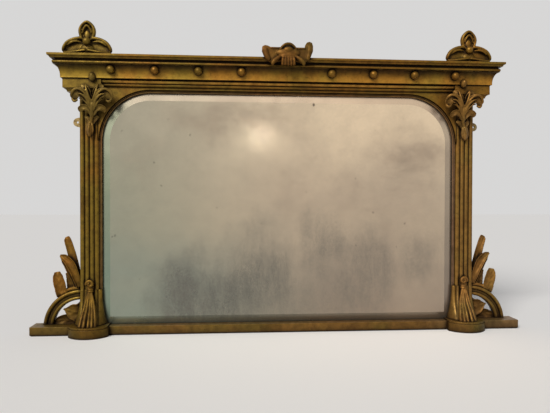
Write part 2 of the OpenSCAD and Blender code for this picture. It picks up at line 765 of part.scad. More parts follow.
module left_finial() color(gilt) difference() {
    translate([-finial_x, finial_y, top_z]) {
        w = finial_w / 2;
        h = finial_h;
        // Upright lobe, drawn to a point
        rimmed_lobe([-w * 0.14, h * 0.42], [-w * 0.46, h * 0.84], [w * 0.14, h * 0.42], [w * 0.46, h * 0.84],
                    [0, h - 5], 6);
        // Side lobes, which sweep outward and droop to their tips
        for (s = [-1, 1])
            rimmed_lobe([s * w * 0.1, h * 0.46], [s * w * 0.84, h * 0.6],
                        [0, h * 0.15], [s * w * 0.5, -h * 0.04], [s * (w - 5), h * 0.08], 6);
        translate([0, -finial_t * 0.35, h * 0.38]) sphere(d = finial_ball_d, $fn = 16);
        // Foot between the lobes, round the dowel
        hull() {
            for (s = [-1, 1]) translate([s * w * 0.4, 0, 2]) scale([1, 0.9, 1])
                sphere(finial_t / 2, $fn = carve_fn);
            translate([0, 0, h * 0.28]) scale([1, 0.9, 1]) sphere(finial_t / 2, $fn = carve_fn);
        }
    }
    block([-finial_x - finial_w, cornice_y, 0], [-finial_x + finial_w, wall_y, top_z]);
    finial_dowel(joint_gap);
}

module right_finial() mirror([1, 0, 0]) left_finial();

// Dowel that stands half in the cornice board and half in the finial
module finial_dowel(grow) translate([-finial_x, finial_y, top_z - cornice_t + 3 - grow])
    cylinder(d = dowel_d + 2 * grow, h = dowel_l + 2 * grow, $fn = 24);

module finial_dowels() color(pine) both_sides() finial_dowel(0);

// ---------- Crest ----------

crest_z = top_z - crest_h * 0.5;
crest_y = cornice_y - crest_t / 2;

// A place on side s of the crest, in shares of its half width, its height and half its thickness
function on_crest(s, out, up, fwd) = [s * out * crest_w / 2, -fwd * crest_t / 2, up * crest_h];

module crest() color(gilt_lit) difference() {
    translate([head_shift, crest_y, crest_z]) {
        // Hooded shell over short flutes
        hull() {
            translate(on_crest(0, 0, 0.8, 0.15)) scale([13, crest_t / 2, crest_h * 0.2]) sphere(1, $fn = 16);
            translate(on_crest(0, 0, 0.42, 0)) scale([20, crest_t / 2, crest_h * 0.23]) sphere(1, $fn = 16);
        }
        for (i = [-2 : 2]) stem(on_crest(i, 0.1, 0.42, 0.3), on_crest(i, 0.12, 0.2, 0.7),
                                on_crest(i, 0.13, 0.1, 0.3), 5.5, 4.5, 2);
        for (s = [-1, 1]) {
            // Curled foot, hollow web and blunt upright ear
            stem(on_crest(s, 0.28, 0.3, 0), on_crest(s, 0.43, 0.03, 0.5), on_crest(s, 0.57, 0.13, 0.1),
                 7, 5, 3);
            leaf(on_crest(s, 0.08, 0.44, -0.1), on_crest(s, 0.6, 0.34, 0), on_crest(s, 0.94, 0.56, 0),
                 crest_w * 0.25, crest_t * 0.35, 6);
            translate([0, 1, 0]) scale([1, 0.7, 1])
                stem(on_crest(s, 0.74, 0.3, 0), on_crest(s, 0.92, 0.4, 0.17), on_crest(s, 0.86, 0.84, 0.33),
                     10, 8.5, 4);
        }
    }
    // Seat against the cornice board's edge
    block([-base_w, cornice_y, bed_z - crest_h], [base_w, wall_y, top_z + crest_h]);
}

// ---------- Ears ----------

ear_face_y = carcass_y + ear_set;
ear_y = ear_face_y + ear_t;
ear_z = base_h - ear_drop;

// Section of the arc, as [radius, height above its back]: a bead at each edge and a hollow between
module ear_section() {
    bead = ear_w * 0.18;
    translate([ear_r - ear_w, 0]) square([ear_w, ear_t - bead * 1.4]);
    for (r = [ear_r - ear_w + bead, ear_r - bead]) {
        translate([r - bead, 0]) square([2 * bead, ear_t - bead]);
        translate([r, ear_t - bead]) circle(bead, $fn = 32);
    }
}

module left_ear_arc() color(gilt) intersection() {
    translate([-stile_x, ear_y, ear_z]) rotate([90, 0, 0])
        rotate([0, 0, 85]) rotate_extrude(angle = 100, $fn = 128) ear_section();
    block([-base_w, plinth_y, base_h], [-stile_x, wall_y, top_z]);
}

module right_ear_arc() mirror([1, 0, 0]) left_ear_arc();

// A point of the left ear, given by its distance from the stile and its height above the shelf
function ear_point(out, up, fwd = 0) = [-stile_x - out, (ear_y + ear_face_y) / 2 - fwd, base_h + up];

// Height of the arc's crown above the shelf, where the outer leaves stand
ear_top = ear_r - ear_drop;
// Radius of the arc's inner edge
ear_in_r = ear_r - ear_w;

module left_outer_leaves() color(gilt) difference() {
    union() {
        // Tall blade beside the stile, the leaf that arches out from it, and the leaf on the arc's shoulder
        leaf(ear_point(4, ear_top), ear_point(0, ear_h * 0.72), ear_point(ear_r * 0.35, ear_h),
             ear_r * 0.29, leaf_t * 0.55, 6);
        leaf(ear_point(8, ear_top - 4, 2), ear_point(8, ear_h * 0.7, 2),
             ear_point(ear_r * 0.55, ear_h * 0.8, 4), ear_r * 0.36, leaf_t * 0.65, 7);
        leaf(ear_point(ear_r * 0.51, ear_top * 0.75), ear_point(ear_r * 0.35, ear_h * 0.44),
             ear_point(ear_r * 0.64, ear_h * 0.61, 3), ear_r * 0.38, leaf_t * 0.55, 6);
        stem(ear_point(5, ear_top - 4), ear_point(3, ear_h * 0.48), ear_point(4, ear_h * 0.6), 7, 5, 4);
        stem(ear_point(8, ear_top), ear_point(ear_r * 0.33, ear_top + 4),
             ear_point(ear_r * 0.58, ear_top * 0.81), 7, 6, 4);
    }
    translate([-stile_x, wall_y + 1, ear_z]) rotate([90, 0, 0])
        cylinder(r = ear_r + joint_gap, h = wall_y - plinth_y, $fn = 128);
    block([-stile_x, plinth_y, 0], [0, wall_y + 1, top_z]);
}

module right_outer_leaves() mirror([1, 0, 0]) left_outer_leaves();

// The spines of the two leaves inside the arc, each as its root, the point it bends towards and its tip
inner_husk = [ear_point(-8, ear_in_r * 0.19), ear_point(ear_in_r * 0.27, ear_in_r * 0.84, 2),
              ear_point(ear_in_r * 0.68, ear_in_r * 0.62, 2)];
inner_low = [ear_point(-8, 0), ear_point(ear_in_r * 0.6, ear_in_r * 0.46), ear_point(ear_in_r * 1.03, 4)];
// Radius of a leaf's rounded midrib at its root, and how far it stands in front of the spine
rib_r = leaf_t * 0.3;
rib_out = [0, leaf_t * 0.35, 0];

// A leaf with a rounded midrib along its front
module ribbed_leaf(spine, w) {
    leaf(spine[0], spine[1], spine[2], w, leaf_t * 0.6, 6);
    stem(spine[0] - rib_out, spine[1] - rib_out, spine[2] - rib_out / 2, rib_r, rib_r * 0.4, 4);
}

module left_inner_leaves() color(gilt_lit) intersection() {
    union() {
        ribbed_leaf(inner_husk, ear_in_r * 0.54);
        ribbed_leaf(inner_low, ear_in_r * 0.35);
    }
    // Kept within the arc, beside the stile and above the shelf
    translate([-stile_x, wall_y + 1, ear_z]) rotate([90, 0, 0])
        cylinder(r = ear_in_r - joint_gap, h = wall_y - plinth_y, $fn = 128);
    block([-base_w, plinth_y, base_h], [-stile_x, wall_y, top_z]);
}

module right_inner_leaves() mirror([1, 0, 0]) left_inner_leaves();

// ---------- Glass ----------

// Outline of the plate at distance inset from its edge: two square and two round corners
module plate_outline(inset) {
    r = sight_r + glass_lap;
    hull() {
        for (s = [-1, 1]) translate([s * (glass_x - r), glass_top_z - r]) circle(r - inset, $fn = 128);
        translate([-glass_x + inset, glass_z + inset]) square([2 * (glass_x - inset), 10]);
    }
}

module mirror_glass() color(silvered) hull() {
    run_y(glass_back_y - eps, glass_back_y) plate_outline(0);
    run_y(glass_back_y - bevel_edge_t, glass_back_y - bevel_edge_t + eps) plate_outline(0);
    run_y(carcass_y, carcass_y + eps) plate_outline(bevel_w);
}

// ---------- Back ----------

// Middles of the glazing blocks, as [x, z, turn]: three above and below, two on each side
block_places = concat(
    [for (x = [-1, 0, 1], s = [0, 1]) [x * glass_x * 0.7, s == 0 ? glass_z : rail_z, s * 180]],
    [for (z = [0.3, 0.7], s = [-1, 1]) [s * opening_x, base_h + sight_h * z, s * 90]]);

module glazing_blocks() color(pine) for (p = block_places)
    translate([p[0], glass_back_y, p[1]]) rotate([0, -p[2], 0]) translate([-block_l / 2, 0, 0])
        cube([block_l, ledge_y - glass_back_y, block_w]);

board_x0 = -opening_x - back_rebate_w + glass_play;
board_z0 = glass_z - back_rebate_w + board_gap;
board_z1 = rail_z + back_rebate_w - board_gap;
board_pitch = -2 * board_x0 / board_n;

// Places of the screws: one near each end of each backboard
board_screws = [for (i = [0 : board_n - 1], s = [0, 1])
    [board_x0 + (i + 0.5) * board_pitch, s == 0 ? glass_z - back_rebate_w / 2 : rail_z + back_rebate_w / 2]];

module board_screw_holes() for (p = board_screws)
    rod_y(screw_d + 2 * screw_gap, p[0], p[1], ledge_y + board_t - screw_l - 1, ledge_y + board_t + 1);

module backboard(i) color(pine) difference() {
    block([board_x0 + (i - 1) * board_pitch + board_gap / 2, ledge_y, board_z0],
          [board_x0 + i * board_pitch - board_gap / 2, ledge_y + board_t, board_z1]);
    board_screw_holes();
    for (p = board_screws) screw_head(p, screw_gap);
}

// Countersunk head, flush with the back of the board
module screw_head(p, grow) translate([p[0], ledge_y + board_t + eps, p[1]]) rotate([90, 0, 0])
    cylinder(d1 = screw_head_d + 2 * grow, d2 = screw_d + 2 * grow,
             h = (screw_head_d - screw_d) / 2, $fn = 32);

module backboard_screws() color(steel) for (p = board_screws) {
    rod_y(screw_d, p[0], p[1], ledge_y + board_t - screw_l, ledge_y + board_t - eps);
    screw_head(p, 0);
}

// ---------- Wall plates ----------

hole_x = stile_x + lug_reach;
plate_screw_x = stile_x - plate_w * 0.45;

module plate_plan(grow) {
    translate([-stile_x - grow, plate_z - plate_h / 2 - grow])
        square([plate_w + 2 * grow, plate_h + 2 * grow]);
    hull() {
        translate([-hole_x, plate_z]) circle(lug_r + grow, $fn = 48);
        translate([-stile_x, plate_z - plate_h / 2 + 6]) square([1, plate_h - 12]);
    }
}

module wall_plate_recess() {
    block([-stile_x - 1, wall_y - plate_t, plate_z - plate_h / 2 - joint_gap],
          [-stile_x + plate_w + joint_gap, wall_y + 1, plate_z + plate_h / 2 + joint_gap]);
    for (s = [-1, 1]) rod_y(screw_d + 2 * screw_gap, -plate_screw_x, plate_z + s * plate_screw_pitch / 2,
                            wall_y - screw_l - 1, wall_y);
}

module left_wall_plate() color(brass) difference() {
    run_y(wall_y - plate_t, wall_y) plate_plan(0);
    rod_y(wall_hole_d, -hole_x, plate_z, wall_y - plate_t - 1, wall_y + 1);
    for (s = [-1, 1]) rod_y(screw_d + 2 * screw_gap, -plate_screw_x, plate_z + s * plate_screw_pitch / 2,
                            wall_y - plate_t - 1, wall_y + 1);
}

module right_wall_plate() mirror([1, 0, 0]) left_wall_plate();

module plate_screws() color(brass) both_sides() for (s = [-1, 1])
    rod_y(screw_d, -plate_screw_x, plate_z + s * plate_screw_pitch / 2, wall_y - screw_l, wall_y);

// ---------- The assembly ----------

base_shelf();
left_plinth();
right_plinth();
left_stile();
right_stile();
head_rail();
frieze_board();
left_spandrel();
right_spandrel();
left_pilaster();
right_pilaster();
left_foot();
right_foot();
left_sheaf();
right_sheaf();
left_slip();
right_slip();
head_slip();
lower_bead();
upper_bead();
left_fascia_block();
right_fascia_block();
frieze_cove();
left_cove_return();
right_cove_return();
cornice_bed();
cornice_board();
for (i = [1 : 2 * ball_n]) frieze_ball(i);
left_spray();
right_spray();
left_finial();
right_finial();
finial_dowels();
crest();
left_ear_arc();
right_ear_arc();
left_outer_leaves();
right_outer_leaves();
left_inner_leaves();
right_inner_leaves();
mirror_glass();
glazing_blocks();
for (i = [1 : board_n]) backboard(i);
backboard_screws();
left_wall_plate();
right_wall_plate();
plate_screws();
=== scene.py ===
# Looks of the overmantel mirror: materials, carving, light and camera round the CAD frame.
import math
import bmesh
import bpy
from mathutils import Matrix, Quaternion, Vector


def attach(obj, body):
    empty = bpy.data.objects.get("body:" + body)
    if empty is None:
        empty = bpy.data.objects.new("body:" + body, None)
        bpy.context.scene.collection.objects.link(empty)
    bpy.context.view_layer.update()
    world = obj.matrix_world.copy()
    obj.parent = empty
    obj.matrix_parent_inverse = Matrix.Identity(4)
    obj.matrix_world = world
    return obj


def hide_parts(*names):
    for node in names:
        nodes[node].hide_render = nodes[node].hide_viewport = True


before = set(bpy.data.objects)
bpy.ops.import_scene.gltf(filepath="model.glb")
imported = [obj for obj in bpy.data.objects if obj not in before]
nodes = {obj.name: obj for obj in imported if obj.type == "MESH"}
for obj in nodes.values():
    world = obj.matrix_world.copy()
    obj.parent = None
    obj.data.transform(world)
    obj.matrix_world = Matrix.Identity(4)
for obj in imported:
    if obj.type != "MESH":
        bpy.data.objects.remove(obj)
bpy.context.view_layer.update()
scene = bpy.context.scene

MM = 0.001
VOXEL = 0.0014


# ---------- Camera, at the photograph's angle ----------

PHOTO_W = 550
FOCAL_PX = 551.0
SENSOR_MM = 36.0
FARTHEST = 60
CAMERA_AT = Vector((-0.1498, -1.663, 0.4026))
YAW, PITCH, ROLL = math.radians(4.456), math.radians(-0.849), math.radians(-0.105)


def make_camera():
    data = bpy.data.cameras.new("camera")
    data.type = "PERSP"
    data.sensor_width = SENSOR_MM
    data.lens = FOCAL_PX * SENSOR_MM / PHOTO_W
    data.clip_end = FARTHEST
    camera = bpy.data.objects.new("camera", data)
    ahead = Vector((math.sin(YAW) * math.cos(PITCH), math.cos(YAW) * math.cos(PITCH), math.sin(PITCH)))
    camera.rotation_mode = "QUATERNION"
    camera.rotation_quaternion = Quaternion(ahead, ROLL) @ ahead.to_track_quat("-Z", "Y")
    camera.location = CAMERA_AT
    scene.collection.objects.link(camera)
    scene.camera = camera


make_camera()
scene.view_settings.view_transform = "Standard"


# ---------- Node trees ----------

class Nodes:
    """Short calls for building the node tree of a material or of the world."""

    def __init__(self, owner, shader="Principled BSDF"):
        self.owner = owner
        owner.use_nodes = True
        self.tree = owner.node_tree
        self.shader = self.tree.nodes[shader]

    def add(self, kind, **settings):
        node = self.tree.nodes.new("ShaderNode" + kind)
        for key, value in settings.items():
            setattr(node, key, value)
        return node

    def put(self, socket, value):
        """Links an output to a socket, or sets the socket's own value."""
        if isinstance(value, bpy.types.NodeSocket):
            self.tree.links.new(value, socket)
        elif isinstance(value, tuple) and len(value) == 3 and socket.type == "RGBA":
            socket.default_value = (*value, 1)
        else:
            socket.default_value = value

    def fill(self, node, **values):
        """Puts values in a node's sockets by name, with _ for a space."""
        for key, value in values.items():
            self.put(node.inputs[key.replace("_", " ")], value)
        return node

    def place(self):
        return self.add("TexCoord").outputs["Object"]

    def moved(self, vector, scale=(1, 1, 1), rotation=(0, 0, 0), location=(0, 0, 0)):
        """Scales and turns a vector, and then moves it."""
        node = self.add("Mapping")
        return self.fill(node, Vector=vector, Scale=scale, Rotation=rotation, Location=location).outputs["Vector"]

    def noise(self, vector, scale, detail=4, rough=0.55, distortion=0.0, output="Fac"):
        node = self.add("TexNoise")
        self.fill(node, Vector=vector, Scale=scale, Detail=detail, Roughness=rough, Distortion=distortion)
        return node.outputs[output]

    def span(self, value, low, high, to_low=0.0, to_high=1.0):
        """Maps a value from one span to another, eased at both ends, and clamps it."""
        node = self.add("MapRange", interpolation_type="SMOOTHSTEP")
        self.fill(node, Value=value, From_Min=low, From_Max=high, To_Min=to_low, To_Max=to_high)
        return node.outputs["Result"]

    def math(self, kind, a, b):
        node = self.add("Math", operation=kind)
        self.put(node.inputs[0], a)
        self.put(node.inputs[1], b)
        return node.outputs[0]

    def total(self, a, b):
        return self.math("ADD", a, b)

    def product(self, a, b):
        return self.math("MULTIPLY", a, b)

    def mix(self, factor, a, b, kind="MIX"):
        node = self.add("Mix", data_type="RGBA", blend_type=kind)
        return self.fill(node, Factor=factor, A=a, B=b).outputs["Result"]

    def times(self, colour, factor):
        """A colour multiplied by one number."""
        grey = self.fill(self.add("CombineColor"), Red=factor, Green=factor, Blue=factor)
        return self.mix(1.0, colour, grey.outputs[0], "MULTIPLY")

    def axis(self, vector, name):
        node = self.add("SeparateXYZ")
        self.put(node.inputs[0], vector)
        return node.outputs[name]

    def openness(self, distance):
        """How open a place is, from 0 in a deep recess to 1 on an open face."""
        node = self.add("AmbientOcclusion", samples=8)
        return self.fill(node, Distance=distance).outputs["AO"]

    def edge(self, radius):
        """How near a sharp edge is, 0 on a face and more on an arris, and the normal softened there."""
        bevel = self.fill(self.add("Bevel", samples=4), Radius=radius)
        dot = self.add("VectorMath", operation="DOT_PRODUCT")
        self.put(dot.inputs[0], bevel.outputs["Normal"])
        self.put(dot.inputs[1], self.add("NewGeometry").outputs["Normal"])
        return self.math("SUBTRACT", 1.0, dot.outputs["Value"]), bevel.outputs["Normal"]

    def bump(self, height, distance, strength, normal=None):
        node = self.fill(self.add("Bump"), Height=height, Distance=distance, Strength=strength)
        if normal is not None:
            self.put(node.inputs["Normal"], normal)
        return node.outputs["Normal"]

    def finish(self, **inputs):
        self.fill(self.shader, **inputs)
        return self.owner


# ---------- Gilding, wood and metal ----------

# Tarnish is the gold's own colour times this
TARNISH = (0.4, 0.34, 0.3)
# The gilding low on the right is its own colour times this
GREYER = (1.05, 1.2, 2.1)
ARRIS = 0.0012
NEAR, WIDE = 0.012, 0.05


def gilding(name, gold, olive, dirt_and_shade, wear=(0.42, 0.25, 0.06), metal=0.55, shine=0.34, painted_shadow_span=None):
    """Old bronze paint over gesso: gold and olive patches, brown tarnish, rubbed arrises, dirt and painted shade in
    recesses.
    shine is its lowest roughness. The last argument gives the heights of a hollow's foot and top, for painted light
    at its foot and painted shadow at its top."""
    n = Nodes(bpy.data.materials.new(name))
    at = n.place()
    x, z = n.axis(at, "X"), n.axis(at, "Z")
    # The gold is greener on the left of the frame and more orange on the right: random tone, and painted warm light
    # from the right
    hue = n.total(n.noise(at, 8), n.span(x, -0.9, 0.9, -0.1, 0.1))
    colour = n.mix(n.span(hue, 0.34, 0.64), olive, gold)
    tarnish = n.span(n.noise(n.moved(at, rotation=(0.6, 0.2, 1.1)), 14, 5, 0.6), 0.5, 0.72)
    colour = n.mix(n.product(tarnish, 0.5), colour, tuple(a * b for a, b in zip(gold, TARNISH)))
    mottle = n.span(n.noise(at, 55, 6, 0.62), 0.3, 0.7, 0.7, 1.25)
    colour = n.times(colour, mottle)
    if painted_shadow_span:
        # Painted shadow from the cornice darkens the hollow toward its top, and painted light brightens its foot
        height = n.total(z, n.product(n.noise(at, 9, 3), 0.006))
        colour = n.times(colour, n.span(height, *painted_shadow_span, 1.32, 0.18))
    spots = n.span(n.noise(at, 210, 3, 0.5), 0.63, 0.7)
    colour = n.mix(n.product(spots, 0.5), colour, dirt_and_shade)
    # The right pilaster and what stands beside it are greyer
    greyer = n.product(n.span(x, 0.40, 0.56), n.span(z, 0.45, 0.70, 1.0, 0.0))
    colour = n.mix(greyer, colour, GREYER, "MULTIPLY")
    # Painted shade: darker toward the foot, where less light falls
    height = n.total(z, n.product(n.noise(at, 12), 0.12))
    colour = n.mix(n.span(height, 0.03, 0.2, 0.45, 0.0), colour, dirt_and_shade)
    # Rubbed arrises
    edge, soft_normal = n.edge(ARRIS)
    rubbed = n.product(n.span(edge, 0.02, 0.16), n.span(n.noise(at, 34, 5), 0.36, 0.56))
    colour = n.mix(n.product(rubbed, 0.75), colour, wear)
    # Dirt and painted shade in narrow and in wide recesses
    opened = n.total(0.25, n.product(n.span(n.openness(WIDE), 0.32, 0.92), 0.75))
    opened = n.product(n.span(n.openness(NEAR), 0.5, 0.97), opened)
    colour = n.mix(opened, dirt_and_shade, colour)
    dull = n.product(n.math("SUBTRACT", 1.0, opened), 0.25)
    rough = n.total(n.span(mottle, 0.7, 1.25, shine + 0.16, shine), dull)
    # Fine grain of the paint over the gesso's brush marks
    relief = n.total(n.product(n.noise(at, 620, 4, 0.6), 0.25), n.noise(at, 90, 5))
    normal = n.bump(relief, 0.0006, 0.55, soft_normal)
    return n.finish(Base_Color=colour, Roughness=rough, Metallic=metal, Specular_IOR_Level=0.22, Normal=normal)


EARLY_WOOD, LATE_WOOD = (0.23, 0.135, 0.062), (0.12, 0.062, 0.026)
WOOD_DIRT, WOOD_SHADE = (0.10, 0.062, 0.034), (0.03, 0.02, 0.012)
ALONG_GRAIN, ACROSS_GRAIN = 1.2, 26.0


def pine(name, grain_axis):
    """Old deal: brown early wood with darker late-wood lines along one axis."""
    n = Nodes(bpy.data.materials.new(name))
    at = n.place()
    scale, bands = {
        "X": ((ALONG_GRAIN, ACROSS_GRAIN, ACROSS_GRAIN), "Z"),
        "Z": ((ACROSS_GRAIN, ACROSS_GRAIN, ALONG_GRAIN), "X"),
    }[grain_axis]
    stretched = n.moved(at, scale)
    rings = n.add("TexWave", wave_type="BANDS", bands_direction=bands)
    n.fill(rings, Vector=stretched, Scale=0.5, Distortion=9, Detail=3, Detail_Scale=0.8)
    late = n.span(rings.outputs["Fac"], 0.45, 0.95)
    colour = n.mix(late, EARLY_WOOD, LATE_WOOD)
    colour = n.mix(n.span(n.noise(at, 6), 0.35, 0.7), colour, WOOD_DIRT)
    colour = n.mix(n.span(n.openness(0.02), 0.35, 0.95), WOOD_SHADE, colour)
    normal = n.bump(n.noise(stretched, 9, 5), 0.0007, 0.5)
    return n.finish(Base_Color=colour, Roughness=n.span(late, 0, 1, 0.78, 0.62), Normal=normal)


def dull_metal(name, colour, rust, rough):
    """Dull metal with spots, and rust or verdigris in its recesses."""
    n = Nodes(bpy.data.materials.new(name))
    at = n.place()
    spots = n.span(n.noise(at, 160, 6, 0.65), 0.46, 0.62)
    tint = n.mix(spots, colour, rust)
    tint = n.mix(n.span(n.openness(0.004), 0.3, 0.9), rust, tint)
    normal = n.bump(n.noise(at, 500, 3), 0.0002, 0.4)
    return n.finish(Base_Color=tint, Metallic=0.9, Roughness=n.span(spots, 0, 1, rough, 0.62), Normal=normal)


# ---------- Old mirror plate ----------

# Tints of the silvering at the plate's left and right: partly its own tint, partly painted reflection of warm light,
# brightest at the head and on the right
FOOT_TINTS_AND_LIGHT = (0.33, 0.37, 0.30), (0.40, 0.315, 0.24)
MIDDLE_TINTS_AND_LIGHT = (0.44, 0.425, 0.305), (0.71, 0.56, 0.395)
HEAD_TINTS_AND_GLOW = (0.50, 0.455, 0.335), (1.0, 0.78, 0.53)
# Soft grey patches in the silvering: X and Z of the middle, half width, half height, strength
GREY, GREY_PATCHES = (0.15, 0.15, 0.13), (
    (-0.27, 0.10, 0.15, 0.18, 1.0), (-0.08, 0.16, 0.16, 0.21, 0.75), (0.12, 0.27, 0.10, 0.13, 0.5),
    (0.27, 0.17, 0.14, 0.20, 0.45), (0.44, 0.22, 0.08, 0.10, 0.4), (0.0, 0.06, 0.48, 0.20, 0.3),
)
# Brown patches, mostly near the head and on the right
BROWN, BROWN_PATCHES = (0.40, 0.30, 0.215), (
    (-0.12, 0.64, 0.30, 0.09, 0.7), (0.42, 0.53, 0.20, 0.14, 0.8), (-0.42, 0.52, 0.12, 0.10, 0.4),
    (0.33, 0.40, 0.24, 0.12, 0.5), (0.05, 0.44, 0.20, 0.14, 0.35),
)
# A spot of lost silver under the head
BARE, BARE_SPOT = (0.10, 0.07, 0.045), (0.0987, 0.6885, 0.0055, 0.0075, 0.85)
GRAIN, MOTTLE, SPECK = (0.10, 0.095, 0.08), (0.20, 0.185, 0.155), (0.06, 0.055, 0.045)
# Tints of the ground bevel, painted reflection on each of its sides. The upper one changes from left to right.
BEVEL_RIGHT_REFLECTION, BEVEL_LEFT_REFLECTION, BEVEL_LOW_REFLECTION = (0.66, 0.67, 0.70), (0.70, 0.82, 0.78), (0.70, 0.72, 0.70)
BEVEL_TOP_REFLECTION = (0.52, 0.49, 0.50), (0.98, 0.95, 0.97), (0.82, 0.79, 0.80)
# The patches' borders wander by up to half of this in X and Z
WANDER = (0.16, 0, 0.24)


def patch(n, at, x, z, wide, high, strength):
    """A soft patch round one place of the plate: strength in its middle and 0 outside."""
    ball = n.add("TexGradient", gradient_type="SPHERICAL")
    n.fill(ball, Vector=n.moved(at, (1 / wide, 0, 1 / high), location=(-x / wide, 0, -z / high)))
    return n.product(n.span(ball.outputs["Fac"], 0, 0.75), strength)


def patches(n, at, places):
    strength = 0.0
    for place in places:
        strength = n.total(strength, patch(n, at, *place))
    return strength


def silvering(n, at):
    """The plate's colour without its bevel, with the strength of its grey patches and its clouds."""
    x = n.axis(at, "X")
    clouds = n.noise(at, 4.2, 5, 0.55, 0.3)
    # Dark foot, paler middle and palest head, greener on the left and warmer on the right: partly the silvering's
    # tint, partly painted reflection of warm light
    height = n.total(n.axis(at, "Z"), n.product(n.math("SUBTRACT", clouds, 0.5), 0.35))
    foot = n.mix(n.span(x, -0.5, 0.3), *FOOT_TINTS_AND_LIGHT)
    middle = n.mix(n.span(x, -0.58, 0.1), *MIDDLE_TINTS_AND_LIGHT)
    head = n.mix(n.span(x, -0.58, 0.3), *HEAD_TINTS_AND_GLOW)
    colour = n.mix(n.span(height, 0.04, 0.44), foot, middle)
    colour = n.mix(n.span(height, 0.40, 0.70), colour, head)
    # Patches, whose borders wander
    wander = n.add("VectorMath", operation="MULTIPLY_ADD")
    n.put(wander.inputs[0], n.noise(n.moved(at, (1, 1, 0.7)), 9, 6, 0.5, output="Color"))
    n.put(wander.inputs[1], WANDER)
    n.put(wander.inputs[2], at)
    shifted = n.moved(wander.outputs["Vector"], location=tuple(-w / 2 for w in WANDER))
    mist = n.noise(n.moved(at, (0.8, 1, 1.3)), 7.5, 7, 0.62, 0.4)
    brown = n.product(patches(n, shifted, BROWN_PATCHES), n.span(mist, 0.38, 0.66, 0.35, 1.0))
    colour = n.mix(n.product(brown, 0.8), colour, BROWN)
    # The grey ones are drawn out upward
    drawn = n.noise(n.moved(at, (1, 1, 0.3)), 26, 6, 0.7)
    grey = n.product(patches(n, shifted, GREY_PATCHES), n.span(drawn, 0.3, 0.68, 0.45, 1.0))
    colour = n.mix(n.product(grey, 0.72), colour, GREY)
    # Grain and mottle, stronger in the grey patches, and a few dark specks
    grain = n.span(n.noise(at, 230, 4, 0.7), 0.35, 0.65)
    colour = n.mix(n.product(grain, n.total(0.05, n.product(grey, 0.4))), colour, GRAIN)
    mottle = n.span(n.noise(at, 22, 6, 0.7), 0.35, 0.7)
    colour = n.mix(n.product(mottle, n.total(0.1, n.product(grey, 0.3))), colour, MOTTLE)
    specks = n.span(n.noise(at, 60, 2, 0.5), 0.765, 0.785)
    colour = n.mix(n.product(specks, 0.5), colour, SPECK)
    return n.mix(patch(n, at, *BARE_SPOT), colour, BARE), grey, clouds


def old_mirror(name):
    """Old plate glass: tinted silvering, soft grey and brown patches, a fine grain and a darker ground bevel. The
    bevel's tints and the silvering's warm glow are painted reflection.
    """
    n = Nodes(bpy.data.materials.new(name))
    at = n.place()
    colour, grey, clouds = silvering(n, at)
    # The bevel's faces lean outward, so the mesh's own normal tells its four sides apart, and each side gets its
    # painted reflection
    lean = n.add("TexCoord").outputs["Normal"]
    lean_x, lean_z = n.axis(lean, "X"), n.axis(lean, "Z")
    x = n.axis(at, "X")
    top = n.mix(n.span(x, -0.47, -0.22), BEVEL_TOP_REFLECTION[0], BEVEL_TOP_REFLECTION[1])
    top = n.mix(n.span(x, 0.0, 0.35), top, BEVEL_TOP_REFLECTION[2])
    ground = 0.0
    for side, tint in (
        (n.span(lean_x, 0.03, 0.09), BEVEL_RIGHT_REFLECTION), (n.span(lean_x, -0.09, -0.03, 1, 0), BEVEL_LEFT_REFLECTION),
        (n.span(lean_z, 0.03, 0.08), top), (n.span(lean_z, -0.10, -0.05, 1, 0), BEVEL_LOW_REFLECTION),
    ):
        colour = n.mix(side, colour, tint, "MULTIPLY")
        ground = n.math("MAXIMUM", ground, side)
    rough = n.total(n.span(clouds, 0.3, 0.7, 0.12, 0.2), n.product(grey, 0.16))
    rough = n.total(rough, n.product(ground, 0.12))
    normal = n.bump(n.noise(at, 9, 2), 0.0008, 0.3)
    return n.finish(
        Base_Color=colour, Metallic=0.9, Roughness=rough, Normal=normal, Coat_Weight=0.25, Coat_Roughness=0.04
    )


# ---------- The materials ----------

# Dark brown of dirt, also used for painted shade in recesses and toward the foot
DIRT_AND_SHADE = (0.016, 0.007, 0.0015)
# Heights of the cove's foot and top, for its painted light and painted shadow
COVE_PAINTED_SHADOW = (0.760, 0.790)
GILT = gilding("gilding_old", (0.205, 0.093, 0.011), (0.176, 0.110, 0.013), DIRT_AND_SHADE)
# A lighter copy of the gilding: painted light on the upper bead
LIT_GILT = gilding("gilding_lit", (0.400, 0.190, 0.032), (0.340, 0.210, 0.034), DIRT_AND_SHADE, metal=0.6)
CARVED = gilding(
    "gilding_carved", (0.222, 0.090, 0.011), (0.176, 0.096, 0.011), DIRT_AND_SHADE, (0.34, 0.195, 0.058), shine=0.42
)
# Paler rubbed arrises for the sprays: wear, and painted highlights on their ridges
LEAFY = gilding(
    "gilding_leafy", (0.212, 0.104, 0.020), (0.176, 0.112, 0.021), DIRT_AND_SHADE, (0.38, 0.25, 0.095), shine=0.42
)
# A darker, redder copy of the gilding for the crest: partly painted shade
SHADED_DULL = gilding("gilding_dull", (0.165, 0.068, 0.010), (0.120, 0.072, 0.010), DIRT_AND_SHADE, (0.22, 0.11, 0.028), shine=0.5)
# A lighter copy of the gilding for the cove, as painted light, with painted shadow under the cornice
COVE = gilding("gilding_cove", (0.280, 0.128, 0.016), (0.236, 0.146, 0.018), DIRT_AND_SHADE, metal=0.6, painted_shadow_span=COVE_PAINTED_SHADOW)
